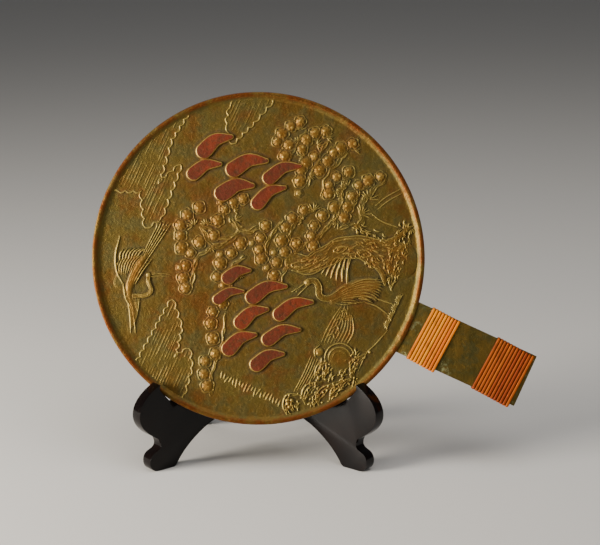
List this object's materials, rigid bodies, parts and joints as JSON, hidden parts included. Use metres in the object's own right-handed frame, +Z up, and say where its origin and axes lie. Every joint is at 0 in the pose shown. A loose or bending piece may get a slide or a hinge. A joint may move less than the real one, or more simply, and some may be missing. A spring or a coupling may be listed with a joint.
{
  "type": "ancient bronze mirror",
  "caption": "Round cast bronze hand mirror with a flat cane-bound handle and a pictorial relief, leaning on a crossed black lacquered stand.",
  "frame": {"origin": "on the table under the middle of the whole, mirror and stand together", "axes": "+X to the viewer's right, where the handle points; +Y away from the viewer, into the stand; +Z up"},
  "size_m": [0.3208, 0.1288, 0.267],
  "materials": {
    "bronze": "worn cast bronze with an olive-brown patina",
    "cane_light": "golden split cane, lightly polished",
    "cane_red": "reddish split cane, lightly polished",
    "lacquered_wood": "glossy black lacquer"
  },
  "bodies": {
    "root": {"mirror": "bronze", "cane_binding_upper": "cane_light", "cane_binding_lower": "cane_red", "stand_board_left": "lacquered_wood", "stand_board_right": "lacquered_wood"}
  },
  "joints": []
}
